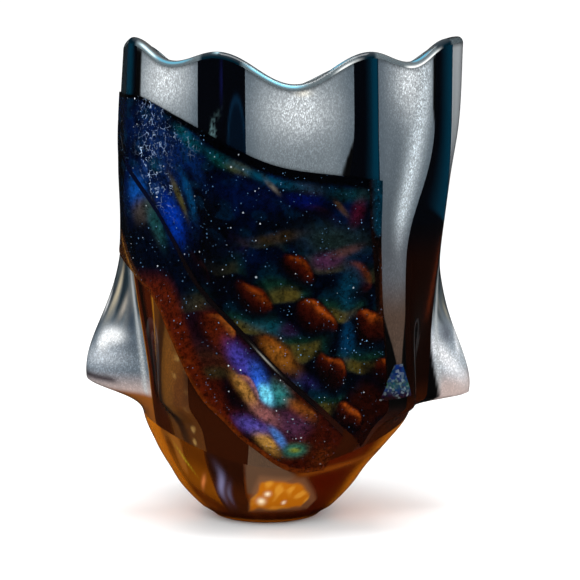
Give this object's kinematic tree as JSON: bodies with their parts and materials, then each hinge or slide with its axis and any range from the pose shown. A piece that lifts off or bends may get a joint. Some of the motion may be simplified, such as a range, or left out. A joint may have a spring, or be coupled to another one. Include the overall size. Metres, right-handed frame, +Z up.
{
  "type": "glass vase",
  "caption": "Hand blown cased glass vase with ribs, silvered panels, two pulled wings, a dichroic overlay and a wavy rounded lip.",
  "frame": {"origin": "on the surface the vase stands on, under the middle of its bounding box", "axes": "+Z up out of the mouth, -Y towards the front with the dichroic overlay, +X to the right towards the right wing"},
  "size_m": [0.1836, 0.1607, 0.2285],
  "materials": {
    "foot_glass": "polished dark amber glass",
    "amber_glass": "polished transparent amber glass",
    "lip_glass": "fire polished clear glass",
    "silver_glass": "silvered, fine sparkling grain",
    "clear_glass": "polished clear glass",
    "teal_glass": "polished dark teal glass",
    "rib_glass": "polished dark red-brown amber glass",
    "dichroic_coat": "polished dichroic coating on black glass, colour changes over its dimples",
    "dichroic_flake": "glittering crushed dichroic flakes",
    "stringer_glass": "dark brown glass thread"
  },
  "bodies": {
    "root": {"foot_pad": "foot_glass", "amber_body": "amber_glass", "lip_bead": "lip_glass", "silver_strip_1": "silver_glass", "silver_strip_2": "silver_glass", "silver_strip_3": "silver_glass", "silver_strip_4": "silver_glass", "silver_strip_5": "silver_glass", "silver_strip_6": "silver_glass", "silver_strip_7": "silver_glass", "silver_strip_8": "silver_glass", "clear_lobe_1": "clear_glass", "clear_lobe_2": "clear_glass", "clear_lobe_3": "clear_glass", "clear_lobe_4": "clear_glass", "clear_lobe_5": "clear_glass", "clear_lobe_6": "clear_glass", "clear_lobe_7": "clear_glass", "clear_lobe_8": "clear_glass", "teal_rib_1": "teal_glass", "teal_rib_2": "teal_glass", "teal_rib_3": "teal_glass", "teal_rib_4": "teal_glass", "teal_rib_5": "teal_glass", "teal_rib_6": "teal_glass", "teal_rib_7": "teal_glass", "teal_rib_8": "teal_glass", "amber_rib_1": "rib_glass", "amber_rib_2": "rib_glass", "amber_rib_3": "rib_glass", "amber_rib_4": "rib_glass", "amber_rib_5": "rib_glass", "amber_rib_6": "rib_glass", "amber_rib_7": "rib_glass", "amber_rib_8": "rib_glass", "dichroic_upper": "dichroic_coat", "dichroic_lower": "dichroic_coat", "dichroic_chip": "dichroic_flake", "seam_stringer": "stringer_glass"}
  },
  "joints": []
}
